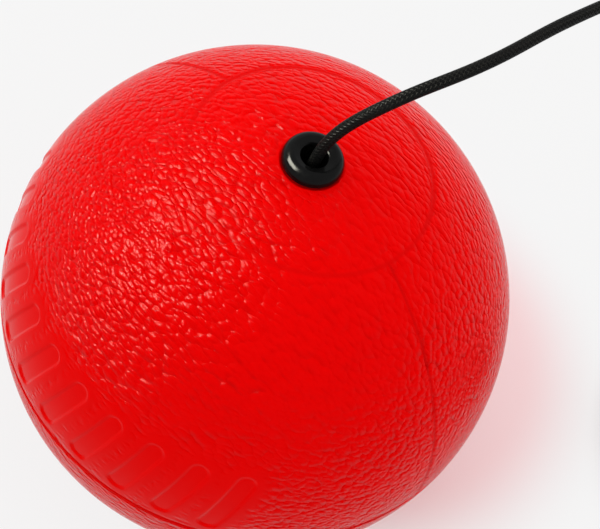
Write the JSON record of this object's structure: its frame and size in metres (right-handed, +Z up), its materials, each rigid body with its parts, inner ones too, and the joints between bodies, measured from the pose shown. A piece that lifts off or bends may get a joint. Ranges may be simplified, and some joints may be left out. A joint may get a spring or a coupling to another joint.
{
  "type": "boxing reflex ball",
  "caption": "Moulded foam ball with a leather-like grain and a domed eyelet, swivelling on a knotted elastic cord, for boxing reflex training.",
  "frame": {"origin": "centre of the small flat at the foot of the ball, on the surface that the ball stands on", "axes": "+Z up along the eyelet's axis, away from the rest flat; the cord leaves the eyelet towards +X and +Y"},
  "size_m": [0.1161, 0.0803, 0.0807],
  "materials": {
    "foam": "moulded leather-like grain, satin",
    "eyelet_plastic": "polished black",
    "washer_nylon": "natural nylon",
    "cord_cover": "fine black braid over rubber",
    "tie_tape": "woven tape"
  },
  "bodies": {
    "ball": {"foam_ball": "foam", "eyelet": "eyelet_plastic", "anchor_washer": "washer_nylon"},
    "cord": {"anchor_knot": "cord_cover", "cord_lead": "cord_cover", "cord_coil": "cord_cover", "cord_tail": "cord_cover", "end_knot": "cord_cover", "coil_tie": "tie_tape"}
  },
  "joints": [
    {"name": "cord_swivel", "type": "hinge", "parent": "ball", "child": "cord", "pos_m": [0, 0, 0.06545], "axis": [0, 0, 1], "continuous": true}
  ]
}
